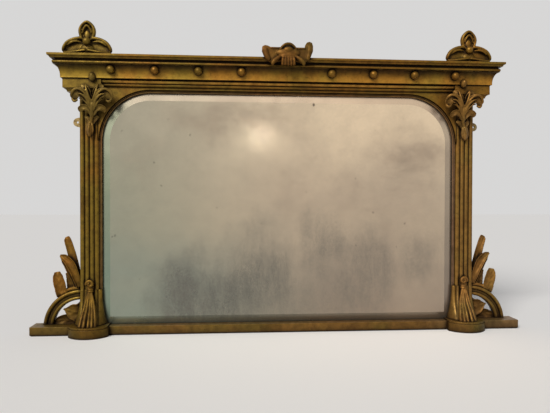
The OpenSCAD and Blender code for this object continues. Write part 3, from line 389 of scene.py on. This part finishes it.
# A lighter copy of the gilding for the base shelf: painted light, and paler rubbed arrises
WORN_AND_LIT = gilding("gilding_worn_and_lit", (0.270, 0.135, 0.030), (0.225, 0.140, 0.026), DIRT_AND_SHADE, (0.40, 0.25, 0.09), shine=0.36)
SLIP = gilding(
    "gilding_slip", (0.205, 0.100, 0.030), (0.165, 0.098, 0.028), (0.030, 0.015, 0.004), (0.26, 0.13, 0.036)
)
PINE_X = pine("pine_along", "X")
PINE_Z = pine("pine_upright", "Z")
BRASS = dull_metal("old_brass", (0.30, 0.21, 0.085), (0.10, 0.066, 0.03), 0.38)
STEEL = dull_metal("old_steel", (0.34, 0.33, 0.31), (0.11, 0.06, 0.035), 0.4)
MIRROR = old_mirror("foxed_plate")

FINISH = {
    "mirror_glass": MIRROR, "left_slip": SLIP, "right_slip": SLIP, "head_slip": SLIP,
    "left_stile": PINE_Z, "right_stile": PINE_Z, "head_rail": PINE_X, "glazing_blocks": PINE_Z,
    "finial_dowels": PINE_Z, "left_wall_plate": BRASS, "right_wall_plate": BRASS, "plate_screws": BRASS,
    "backboard_screws": STEEL, "frieze_cove": COVE, "left_cove_return": COVE, "right_cove_return": COVE,
    "upper_bead": LIT_GILT, "base_shelf": WORN_AND_LIT,
}
for name, node in nodes.items():
    finish = FINISH.get(name, PINE_Z if name.startswith("backboard") else GILT)
    node.data.materials.clear()
    node.data.materials.append(finish)


# ---------- Carving ----------

def curve_point(points, t):
    """A point on a smooth curve through all the points."""
    last = len(points) - 1
    place = min(max(t, 0.0), 1.0) * last
    i = min(int(place), last - 1)
    u = place - i
    a, b = points[i], points[i + 1]
    before = points[i - 1] if i else a * 2 - b
    after = points[i + 2] if i + 2 <= last else b * 2 - a
    return 0.5 * (
        2 * a + (b - before) * u + (2 * before - 5 * a + 4 * b - after) * u * u
        + (3 * a - before - 3 * b + after) * u * u * u
    )


def number_at(values, t):
    """A number between values that are spread evenly from t = 0 to 1."""
    place = min(max(t, 0.0), 1.0) * (len(values) - 1)
    i = min(int(place), len(values) - 2)
    u = place - i
    u = u * u * (3 - 2 * u)
    return values[i] * (1 - u) + values[i + 1] * u


def along(points, t):
    """The point at t of a curve, the direction there, and the direction to its side across the view."""
    ahead = (curve_point(points, t + 0.01) - curve_point(points, t - 0.01)).normalized()
    side = ahead.cross(Vector((0, 1, 0)))
    side = side.normalized() if side.length > 0.05 else Vector((1, 0, 0))
    return curve_point(points, t), ahead, side


def cut_below(mesh, height):
    """Takes away what is below that height, and closes the cut."""
    bm = bmesh.new()
    bm.from_mesh(mesh)
    found = bmesh.ops.bisect_plane(
        bm, geom=bm.verts[:] + bm.edges[:] + bm.faces[:], plane_co=(0, 0, height), plane_no=(0, 0, -1),
        clear_outer=True
    )
    bmesh.ops.edgeloop_fill(bm, edges=[e for e in found["geom_cut"] if isinstance(e, bmesh.types.BMEdge)])
    bm.to_mesh(mesh)
    bm.free()


def drop_specks(mesh, fewest=100):
    """Takes away the loose bubbles that a voxel remesh can leave."""
    bm = bmesh.new()
    bm.from_mesh(mesh)
    specks = []
    for start in bm.faces:
        if start.tag:
            continue
        start.tag = True
        island = [start]
        for face in island:
            for edge in face.edges:
                for other in edge.link_faces:
                    if not other.tag:
                        other.tag = True
                        island.append(other)
        if len(island) < fewest:
            specks += island
    bmesh.ops.delete(bm, geom=specks, context="FACES")
    bm.to_mesh(mesh)
    bm.free()


# Rings over which a tube's end is rounded, its sides and its least radius
ROUNDED_RINGS, TUBE_SIDES, THINNEST_TUBE = 2.5, 14, 0.25
LEAF_STEPS, LEAF_ACROSS = 44, 26
# Shares of a leaf's half width: how broad rib and rim are, where the rim is, and how broad the back is
RIDGE_WIDTH, RIM_AT, UNDERCUT = 0.13, 0.88, 0.97
VEIN_DEPTH, THINNEST_LEAF, SKIN = 0.55, 2.2, 0.8
# Half widths from which a leaf has its full rim, veins and thickness
FULL_RIM, FULL_VEINS, FULL_BODY = 8, 9, 10


class Carving:
    """Closed shells in millimetres that a voxel remesh joins into one carved solid."""

    def __init__(self, name):
        self.name = name
        self.bm = bmesh.new()

    def grid(self, rings):
        """A closed skin over rings of points, with both ends capped."""
        made = [[self.bm.verts.new(p) for p in ring] for ring in rings]
        count = len(rings[0])
        for a, b in zip(made, made[1:]):
            for i in range(count):
                j = (i + 1) % count
                self.bm.faces.new((a[i], a[j], b[j], b[i]))
        self.bm.faces.new(made[0][::-1])
        self.bm.faces.new(made[-1])

    def tube(self, points, radii, flat=1.0, steps=28):
        """A round stem through the points. flat is its depth from front to back over its width."""
        points = [Vector(p) for p in points]
        rings = []
        for k in range(steps + 1):
            t = k / steps
            p, ahead, side = along(points, t)
            out = side.cross(ahead).normalized()
            r = number_at(radii, t)
            # Each end is rounded over its last rings
            near = min(t, 1 - t) * steps / ROUNDED_RINGS
            if near < 1:
                r *= math.sqrt(1 - (1 - near) ** 2)
            r = max(r, THINNEST_TUBE)
            rings.append([
                p + side * r * math.cos(a) + out * r * flat * math.sin(a)
                for a in (2 * math.pi * i / TUBE_SIDES for i in range(TUBE_SIDES))
            ])
        self.grid(rings)

    def ball(self, centre, radii):
        """An ellipsoid."""
        matrix = Matrix.Translation(Vector(centre)) @ Matrix.Diagonal((*radii, 1))
        bmesh.ops.create_uvsphere(self.bm, u_segments=28, v_segments=18, radius=1, matrix=matrix)

    def leaf(self, points, widths, thick, cup, rib, rim, veins, lobes=0, notch=0.0, twist=0.0):
        """A carved leaf. points run from root to tip, widths are full widths along it. cup lifts its sides
        forward, rib and rim stand proud, veins furrow it, lobes notch its outline and twist turns its tip."""
        points = [Vector(p) for p in points]
        rings = []
        for k in range(LEAF_STEPS + 1):
            t = k / LEAF_STEPS
            p, ahead, side = along(points, t)
            front = side.cross(ahead).normalized()
            if front.y > 0:
                front = -front
            angle = math.radians(twist * t)
            side, front = (
                side * math.cos(angle) + front * math.sin(angle),
                front * math.cos(angle) - side * math.sin(angle),
            )
            half = number_at(widths, t) / 2
            if lobes:
                half *= 1 - notch * (1 - abs(math.sin(math.pi * lobes * t)) ** 0.5)
            face, back = [], []
            for i in range(LEAF_ACROSS + 1):
                # v runs from -1 at one side to 1 at the other
                v = 2 * i / LEAF_ACROSS - 1
                out = abs(v)
                lift = cup * half * v * v
                lift += rib * math.exp(-(v / RIDGE_WIDTH) ** 2) * (1 - t) ** 0.5
                lift += rim * math.exp(-((out - RIM_AT) / RIDGE_WIDTH) ** 2) * min(1, half / FULL_RIM)
                if veins:
                    furrow = math.sin(math.pi * veins * (t * 2 - out * 0.7))
                    lift += VEIN_DEPTH * furrow * (1 - out) ** 0.4 * min(1, half / FULL_VEINS)
                body = thick * (1 - 0.6 * v * v) * (0.35 + 0.65 * min(1, half / FULL_BODY))
                body = max(body, THINNEST_LEAF)
                face.append(p + side * half * v + front * lift)
                back.append(p + side * half * v * UNDERCUT + front * (lift - SKIN - body))
            rings.append(face + back[::-1])
        self.grid(rings)

    def plate(self, outline, y0, y1):
        """A flat web with that (x, z) outline, from y0 to y1."""
        self.grid([[Vector((x, y, z)) for x, z in outline] for y in (y0, y1)])

    def mesh(self, at):
        """The shells in metres, moved to a place of the frame that is given in millimetres."""
        mesh = bpy.data.meshes.new(self.name)
        bmesh.ops.recalc_face_normals(self.bm, faces=self.bm.faces)
        self.bm.transform(Matrix.Translation(Vector(at) * MM) @ Matrix.Scale(MM, 4))
        self.bm.to_mesh(mesh)
        self.bm.free()
        return mesh

    def object(self, at, finer=1.0, smooth=4, stands_at=None):
        """Joins the shells into one skin, cut flat where it stands."""
        mesh = self.mesh(at)
        shell = bpy.data.objects.new(self.name + "_shell", mesh)
        scene.collection.objects.link(shell)
        remesh = shell.modifiers.new("join", "REMESH")
        remesh.mode = "VOXEL"
        remesh.voxel_size = VOXEL / finer
        remesh.use_smooth_shade = True
        soften = shell.modifiers.new("soften", "SMOOTH")
        soften.factor = 0.5
        soften.iterations = smooth
        bpy.context.view_layer.update()
        done = bpy.data.meshes.new_from_object(shell.evaluated_get(bpy.context.evaluated_depsgraph_get()))
        done.name = self.name
        bpy.data.objects.remove(shell)
        bpy.data.meshes.remove(mesh)
        if stands_at is not None:
            cut_below(done, stands_at * MM)
        drop_specks(done)
        piece = bpy.data.objects.new(self.name, done)
        scene.collection.objects.link(piece)
        return piece


def mirrored(piece, name):
    """The same carving for the right side."""
    mesh = piece.data.copy()
    mesh.name = name
    mesh.transform(Matrix.Scale(-1, 4, (1, 0, 0)))
    mesh.flip_normals()
    twin = bpy.data.objects.new(name, mesh)
    scene.collection.objects.link(twin)
    return twin


def settle(piece, material, slot, *replaced):
    """Gives a carving its material, and its place on the frame instead of its CAD nodes."""
    piece.data.materials.clear()
    piece.data.materials.append(material)
    for polygon in piece.data.polygons:
        polygon.use_smooth = True
    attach(piece, "root")
    if replaced:
        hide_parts(*replaced)


def pair(piece, material, node):
    """Settles a left carving and its right twin in place of their CAD nodes."""
    twin = mirrored(piece, piece.name.replace("left", "right"))
    settle(piece, material, "gilding", "left_" + node)
    settle(twin, material, "gilding", "right_" + node)
    return piece, twin


# Lines of the frame, in millimetres, as in the CAD
FASCIA_Y, PILASTER_Y, CARCASS_Y = -20, -2, 11
SHELF_TOP, PLINTH_TOP, FOOT_TOP, CORNICE_TOP = 27, 31, 132, 815
STILE_X, FOOT_X = -597, -565.25
# Where the carvings' own origins lie
SPRAY_AT = (-554, FASCIA_Y, 695)
FINIAL_AT = (-566, -30, CORNICE_TOP)
CREST_AT = (12, -66, 785)
SHEAF_AT = (FOOT_X, PILASTER_Y, 0)
# Plane that the bracket's leaves are measured from, 0.2 behind the middle of the CAD's bracket
EAR_Y = 21.5


def make_spray():
    c = Carving("left_spray_carving")
    # Bud over the hollow
    c.ball((0, -7, 58), (9.4, 10, 13))
    c.ball((0, -13, 61), (5.5, 5, 8))
    for s in (-1, 1):
        # Calyx: a broad blade each side of the hollow under the bud, with a bold inner rim
        c.leaf([(s * 2, -6, -12), (s * 9, -10, 6), (s * 19, -11, 22), (s * 31, -6, 36)], [5, 13, 22, 24, 9],
               thick=7, cup=0.3, rib=0.6, rim=1.4, veins=0)
        c.tube([(0, -11, -14), (s * 7, -16, -1), (s * 12, -17, 14), (s * 16, -15, 28), (s * 18, -10, 38)],
               [2.4, 3.2, 3.2, 2.8, 2])
        # Long arm that arches over to a broad, blunt, rolled tip
        c.leaf([(s * 3, -4, -38), (s * 10, -9, -12), (s * 23, -13, 6), (s * 37, -14, 11), (s * 46, -12, 5),
                (s * 47, -8, -9)], [8, 14, 23, 29, 30, 26, 15], thick=6, cup=0.5, rib=0.8, rim=2.2, veins=0,
               lobes=3, notch=0.08, twist=-10 * s)
        c.tube([(s * 3, -8, -30), (s * 10, -14, -6), (s * 21, -18, 12), (s * 36, -19, 21), (s * 48, -17, 18),
                (s * 56, -13, 8), (s * 57, -9, -3)], [2.4, 3, 3.4, 3.6, 3.6, 3.4, 2.6])
        c.tube([(s * 57, -9, -4), (s * 49, -12, -13), (s * 39, -11, -9)], [3, 4.2, 2.4])
        # Fronds on the arm's face
        c.tube([(s * 4, -9, -30), (s * 13, -15, -9), (s * 26, -18, 5), (s * 40, -18, 8)], [2, 2.8, 3, 2])
        c.tube([(s * 4, -6, -38), (s * 12, -10, -22), (s * 24, -13, -8), (s * 38, -12, -4)], [2, 2.6, 2.8, 1.8])
        # Shorter leaf under the arm
        c.leaf([(s * 3 - 1, -1, -52), (s * 11 - 1, -4, -38), (s * 22 - 1, -5, -30), (s * 32 - 1, -3, -34),
                (s * 36 - 1, 2, -43)], [6, 12, 18, 17, 6], thick=4, cup=0.5, rib=0.8, rim=1.6, veins=0)
        # Small leaf on the stem
        c.leaf([(s * 2 - 6, 10, -78), (s * 8 - 6, 8, -66), (s * 15 - 5, 8, -57), (s * 22 - 5, 11, -55)],
               [5, 10, 13, 9, 3], thick=4, cup=0.5, rib=0.8, rim=1.4, veins=0)
        # Husk round the drop
        c.tube([(s * 3 - 8, 8, -68), (s * 7 - 10, 6, -80), (s * 9.5 - 11, 7, -93), (s * 7 - 12, 9, -107)],
               [2.2, 2.8, 2.8, 1.6])
    c.tube([(0, -7, -10), (0, -7, -24), (-2, -2, -44), (-5, 5, -62), (-9, 8, -76)], [4, 6, 6, 5, 4])
    # Drop with a crease down its middle, which hangs on the pilaster's axis
    c.ball((-11, 6, -92), (7.4, 8, 22))
    c.tube([(-9, 1, -74), (-11, -3, -92), (-12, 2, -112)], [1.5, 2.4, 1])
    piece = c.object(SPRAY_AT, finer=1.2, smooth=3)
    pair(piece, LEAFY, "spray")


def make_finial():
    c = Carving("left_finial_carving")
    for s in (-1, 1):
        # Upper rim of the side lobe, double where it folds over, down to the tip
        c.tube([(s * 8, 0, 44), (s * 22, -2, 47), (s * 39, -3, 43), (s * 55, -4, 34), (s * 65, -4, 20),
                (s * 68, -2, 7)], [4.5, 5, 5.2, 5.2, 4.8, 3.8], flat=1.6)
        c.tube([(s * 14, -5, 36), (s * 30, -7, 37), (s * 44, -8, 33), (s * 56, -6, 24)], [2, 2.6, 2.8, 1.6])
        # Lower rim, from the tip to the middle
        c.tube([(s * 68, -1, 6), (s * 52, -5, 5), (s * 34, -8, 6), (s * 16, -8, 9), (0, -7, 12)],
               [3.8, 4.6, 5, 5.2, 5.4], flat=1.5)
    # Rim of the upright lobe, and the fold inside it
    c.tube([(-11, 0, 42), (-18, -1, 55), (-20, -2, 70), (-14, -2, 84), (0, -3, 94), (14, -2, 84), (20, -2, 70),
            (18, -1, 55), (11, 0, 42)], [4, 4.6, 4.8, 4.6, 4.4, 4.6, 4.8, 4.6, 4], flat=1.7, steps=60)
    c.tube([(-12, -4, 60), (-10, -6, 72), (0, -7, 83), (10, -6, 72), (12, -4, 60)], [2, 2.8, 3.2, 2.8, 2], steps=44)
    lobe = [(-14, 42), (-18, 60), (-16, 78), (0, 90), (16, 78), (18, 60), (14, 42)]
    c.plate(lobe, -1, 8)
    web = [(-66, 6), (-60, 26), (-50, 36), (-30, 45), (30, 45), (50, 36), (60, 26), (66, 6), (30, 3), (-30, 3)]
    c.plate(web, 0, 8)
    # Swell below the fold, and the ball
    c.ball((0, -1, 56), (9, 4, 15))
    c.ball((0, -9, 37), (11.5, 10.5, 11.5))
    # Foot on the cornice
    c.tube([(-38, 0, 5), (0, -1, 6), (38, 0, 5)], [5, 8, 5], flat=1.1)
    c.ball((0, 1, 16), (20, 8, 16))
    piece = c.object(FINIAL_AT)
    pair(piece, GILT, "finial")


def make_crest():
    c = Carving("crest_carving")
    # Dome under its hood, and the body that spreads below it
    c.plate([(-25, 30), (-24, 48), (-18, 58), (-9, 63), (0, 65), (9, 63), (18, 58), (24, 48), (25, 30)], 0, 9)
    c.tube([(-25, -1, 36), (-21.5, -6, 51), (-11, -9, 61), (0, -10, 64), (11, -9, 61), (21.5, -6, 51), (25, -1, 36)],
           [2.6, 3.2, 3.4, 3.4, 3.4, 3.2, 2.6], steps=52)
    c.ball((0, -5, 47), (15, 7.5, 10))
    c.ball((0, 0, 39), (37, 10.5, 15))
    c.ball((0, -2, 30), (27, 9, 13))
    # Fluted skirt
    for i in range(-2, 3):
        c.tube([(i * 7.6, -5, 27), (i * 8.2, -10, 17), (i * 8.7, -8, 1)], [2.2, 4.0, 3.8], flat=1.3)
    for s in (-1, 1):
        # Scrolled feet
        c.tube([(s * 21, -4, 29), (s * 30, -7, 23), (s * 39, -7, 16), (s * 45, -6, 8), (s * 41, -5, 4)],
               [4.4, 5.4, 6, 5.6, 4])
        # Wing that turns up in a blunt ear, which stands taller on the right
        if s > 0:
            ear = [(49, 54), (50, 63), (54, 70), (62, 73), (70, 70), (73, 60), (73, 46), (68, 33), (60, 22)]
            ridge = [(54, 18), (60, 32), (62, 47), (61.5, 64)]
        else:
            ear = [(50, 55), (58, 59), (67, 61), (75, 57), (76, 45), (70, 30), (61, 19)]
            ridge = [(52, 17), (60, 27), (65, 40), (66, 53)]
        wing = [(8, 22), (8, 55), (22, 56), (36, 55)] + ear + [(52, 14), (42, 11), (30, 15)]
        c.plate([(s * x, z) for x, z in wing], -2, 11)
        c.tube([(s * x, -1, z) for x, z in ridge], [5, 7.5, 8, 6], flat=0.75)
        c.tube([(s * 24, -2, 53), (s * 36, -2, 52.5), (s * 52, -2, 53)], [2.4, 2.8, 2.6])
    piece = c.object(CREST_AT, finer=1.2, smooth=3)
    settle(piece, SHADED_DULL, "gilding", "crest")


FOOT_REEDS = 5
FOOT_WIDTH, FOOT_DEPTH = 63.5, 13
# How far the foot flares to each side and swells forward, and how deep the hollows between its reeds are
FLARE, SWELL, HOLLOW = 15, 50, 3.4
FOOT_RINGS, FOOT_POINTS = 40, 100


def make_foot():
    """The reeded pilaster's foot, which flares and swells down to the plinth."""
    rings = []
    for j in range(FOOT_RINGS + 1):
        t = j / FOOT_RINGS
        flare = t ** 2.2
        z = FOOT_TOP - (FOOT_TOP - PLINTH_TOP) * t
        width = FOOT_WIDTH + 2 * FLARE * flare
        left = FOOT_X - width / 2
        ring = [Vector((left + width, CARCASS_Y, z)), Vector((left, CARCASS_Y, z))]
        for i in range(FOOT_POINTS + 1):
            u = i / FOOT_POINTS
            depth = FOOT_DEPTH + SWELL * flare * max(math.sin(math.pi * u), 0) ** 0.7
            depth -= HOLLOW * (1 - abs(math.sin(math.pi * FOOT_REEDS * u)) ** 0.7)
            ring.append(Vector((left + width * u, CARCASS_Y - depth, z)))
        rings.append(ring)
    c = Carving("left_foot_carving")
    c.grid(rings)
    mesh = c.mesh((0, 0, 0))
    piece = bpy.data.objects.new(c.name, mesh)
    scene.collection.objects.link(piece)
    for foot in pair(piece, GILT, "foot"):
        # Its sides and ends are shaded flat
        for polygon in foot.data.polygons:
            polygon.use_smooth = len(polygon.vertices) == 4 and abs(polygon.normal.y) > 0.05


def make_sheaf():
    c = Carving("left_sheaf_carving")
    knot = 130
    # Two broad stalks left of the deep groove, three narrow ones right of it
    for u, wide in ((-0.92, 1.2), (-0.38, 1.15), (0.18, 0.95), (0.6, 0.9), (1.0, 0.9)):
        c.tube([(u * 3.6, -9, knot - 1), (u * 9.5, -13, knot - 22), (u * 15, -21 + 3 * u * u, knot - 50),
                (u * 20, -38 + 7 * u * u, knot - 78), (u * 23, -53 + 9 * u * u, PLINTH_TOP - 8)],
               [1.9 * wide, 2.6 * wide, 3.8 * wide, 4.9 * wide, 5.6 * wide], flat=1.6, steps=44)
    c.tube([(0, -1, knot), (0, -2, 78), (0, -31, PLINTH_TOP - 8)], [3.4, 8, 17])
    # Knot: two turns of band
    for dz, r in ((-1, 3), (5, 2.6)):
        c.tube([(-7, -3, knot + dz), (-5.5, -9, knot + dz - 1), (0, -12, knot + dz - 2),
                (5.5, -9, knot + dz - 1), (7, -3, knot + dz)], [r * 0.8, r, r, r, r * 0.8])
    # Curl above the knot: from the left over the top, down on the right and in
    spiral = []
    for k in range(16):
        a = math.radians(205 - k * 31)
        r = 11.5 - k * 0.62
        spiral.append((r * math.cos(a) - 1.5, -5 - k * 0.35, knot + 19 + r * math.sin(a)))
    c.tube(spiral, [4.4, 4.2, 3.8, 3.4, 3.0], steps=64)
    c.ball((-1.5, -3, knot + 19), (11.5, 6, 11.5))
    c.ball((-2, -4, knot + 9), (8, 6, 8))
    piece = c.object(SHEAF_AT, finer=1.4, smooth=2, stands_at=PLINTH_TOP)
    pair(piece, CARVED, "sheaf")


def ear_at(out, up, fwd=0.0):
    """A place on the left bracket: out from the stile, up from the shelf and forward of EAR_Y."""
    return (STILE_X - out, EAR_Y - fwd, SHELF_TOP + up)


def make_leaves():
    c = Carving("left_outer_leaves_carving")
    # Tall blade beside the stile
    c.leaf([ear_at(8, 112), ear_at(15, 160, 2), ear_at(27, 206, 3), ear_at(40, 250, 3), ear_at(45, 260, 2)],
           [14, 20, 24, 25, 23, 19, 9], thick=8, cup=0.3, rib=1.4, rim=1.2, veins=3)
    # Leaf that leans out over the others, and the one in its shade
    c.leaf([ear_at(6, 110, 8), ear_at(15, 146, 10), ear_at(28, 177, 11), ear_at(45, 197, 10), ear_at(62, 206, 7)],
           [14, 24, 27, 22, 7], thick=8, cup=0.45, rib=1.0, rim=2.2, veins=3)
    c.leaf([ear_at(6, 92, -1), ear_at(17, 128), ear_at(32, 160), ear_at(48, 185), ear_at(62, 201)],
           [20, 26, 27, 20, 7], thick=7, cup=0.3, rib=1.0, rim=1.4, veins=3)
    # Shaded leaf between them and the arc
    c.leaf([ear_at(20, 86, -4), ear_at(28, 108, -4), ear_at(38, 130, -3), ear_at(46, 152, -3)], [44, 8],
           thick=7, cup=0.3, rib=1.0, rim=1.2, veins=3)
    # Leaf on the arc's shoulder
    c.leaf([ear_at(59, 80), ear_at(61, 108, 3), ear_at(67, 134, 4), ear_at(71, 156, 3)], [28, 34, 35, 31, 18],
           thick=8, cup=0.3, rib=1.4, rim=1.3, veins=4)
    # Rolls along the arc
    c.tube([ear_at(4, 106), ear_at(22, 106, 1), ear_at(42, 100, 1), ear_at(63, 86)], [7, 6.5, 6, 5])
    piece = c.object((0, 0, 0))
    pair(piece, CARVED, "outer_leaves")

    c = Carving("left_inner_leaves_carving")
    c.leaf([ear_at(-6, 33, 3), ear_at(14, 35, 6), ear_at(35, 40, 6), ear_at(54, 45, 4)], [90, 48, 5],
           thick=7, cup=0.2, rib=1.4, rim=1.8, veins=3)
    c.leaf([ear_at(4, 2, -2), ear_at(34, 9), ear_at(58, 12), ear_at(82, 2)], [16, 35, 36, 26, 8],
           thick=7, cup=0.3, rib=1.2, rim=1.3, veins=3)
    piece = c.object((0, 0, 0), stands_at=SHELF_TOP)
    pair(piece, CARVED, "inner_leaves")


make_spray()
make_finial()
make_crest()
make_foot()
make_sheaf()
make_leaves()


# ---------- Floor, light and background ----------

FLOOR_SEEN, FLOOR_AS_LIGHT = (0.89, 0.885, 0.88), (0.52, 0.50, 0.47)
WORLD_SEEN, WORLD_AS_LIGHT = (0.68, 0.675, 0.67), (0.17, 0.175, 0.19)
FLOOR_SIZE = 12


def pale_where_seen(n, seen, as_light):
    """One colour where it is seen, also in the glass, and a dimmer one as light, so that recesses stay dark."""
    path = n.add("LightPath").outputs
    direct = n.math("MAXIMUM", path["Is Camera Ray"], path["Is Transmission Ray"])
    return n.mix(n.math("MAXIMUM", direct, path["Is Glossy Ray"]), as_light, seen)


def make_floor():
    n = Nodes(bpy.data.materials.new("floor_paint"))
    colour = pale_where_seen(n, FLOOR_SEEN, FLOOR_AS_LIGHT)
    mesh = bpy.data.meshes.new("floor")
    bm = bmesh.new()
    bmesh.ops.create_grid(bm, x_segments=1, y_segments=1, size=FLOOR_SIZE)
    bm.to_mesh(mesh)
    bm.free()
    mesh.materials.append(n.finish(Base_Color=colour, Roughness=0.9, Specular_IOR_Level=0.0))
    floor = bpy.data.objects.new("floor", mesh)
    scene.collection.objects.link(floor)


def make_world():
    n = Nodes(bpy.data.worlds.new("studio"), "Background")
    scene.world = n.finish(Color=pale_where_seen(n, WORLD_SEEN, WORLD_AS_LIGHT))


def lamp(kind, name, at, target, power, colour, size):
    """size is a sun's angle in degrees, or a panel's width and height in metres."""
    data = bpy.data.lights.new(name, kind)
    data.energy = power
    data.color = colour
    if kind == "SUN":
        data.angle = math.radians(size)
    else:
        data.shape = "RECTANGLE"
        data.size, data.size_y = size
    thing = bpy.data.objects.new(name, data)
    thing.location = at
    thing.rotation_mode = "QUATERNION"
    thing.rotation_quaternion = (Vector(target) - Vector(at)).to_track_quat("-Z", "Y")
    scene.collection.objects.link(thing)


make_floor()
make_world()
lamp("SUN", "key", (-1.5, -2.5, 2.1), (0, 0, 0), 3.1, (1.0, 0.97, 0.92), 28)
lamp("AREA", "fill", (0.1, -3.2, 0.95), (0, 0, 0.45), 0.2, (1.0, 0.97, 0.93), (0.17, 0.12))
